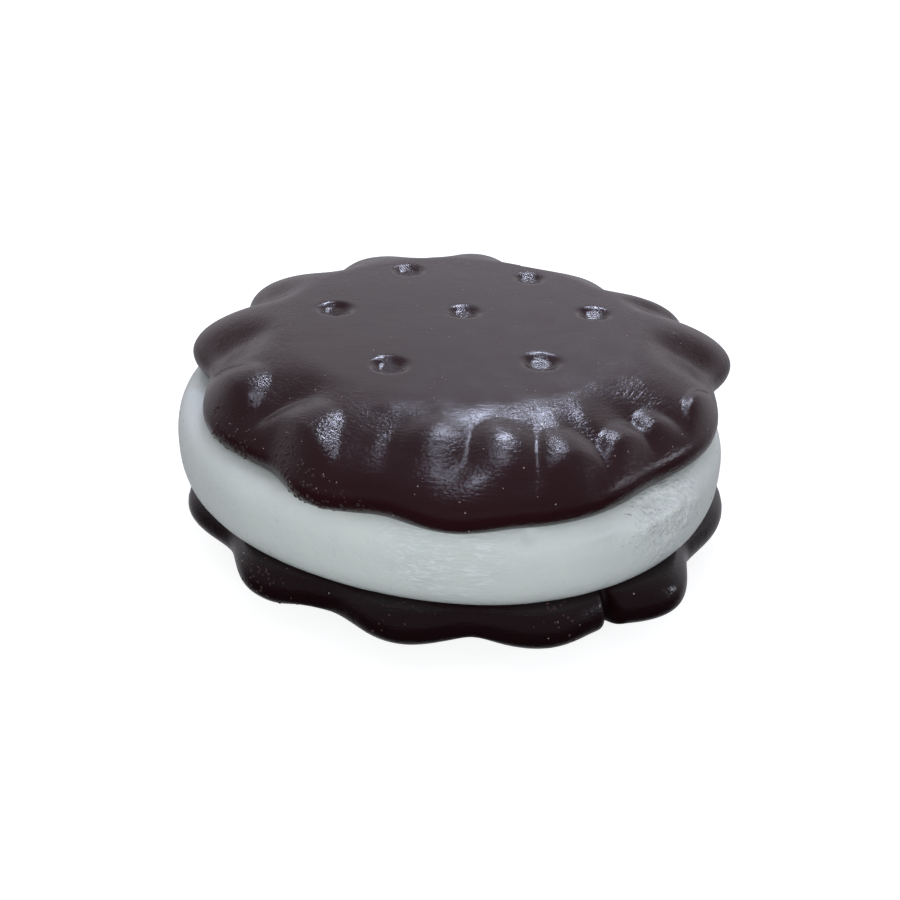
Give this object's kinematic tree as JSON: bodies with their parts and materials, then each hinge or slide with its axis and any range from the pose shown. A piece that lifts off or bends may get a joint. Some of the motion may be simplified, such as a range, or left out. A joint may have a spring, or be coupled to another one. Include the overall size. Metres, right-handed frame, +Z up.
{
  "type": "imitation chocolate sandwich cookie",
  "caption": "Glossy moulded copy of a sandwich cookie: dark scalloped wafers with pricked faces hold a thick white filling that bulges out between them.",
  "frame": {"origin": "middle of the box of the cookie, at the level of the face it stands on", "axes": "+Z up through the stacked layers, -Y towards the front that the picture shows"},
  "size_m": [0.0508, 0.0506, 0.0177],
  "materials": {
    "dark_wafer_gloss": "very dark maroon brown resin or clay under a slightly hazy gloss varnish",
    "white_filling_gloss": "cool greyish white, glossy and a little translucent"
  },
  "bodies": {
    "root": {"bottom_wafer": "dark_wafer_gloss", "cream_filling": "white_filling_gloss", "top_wafer": "dark_wafer_gloss"}
  },
  "joints": []
}
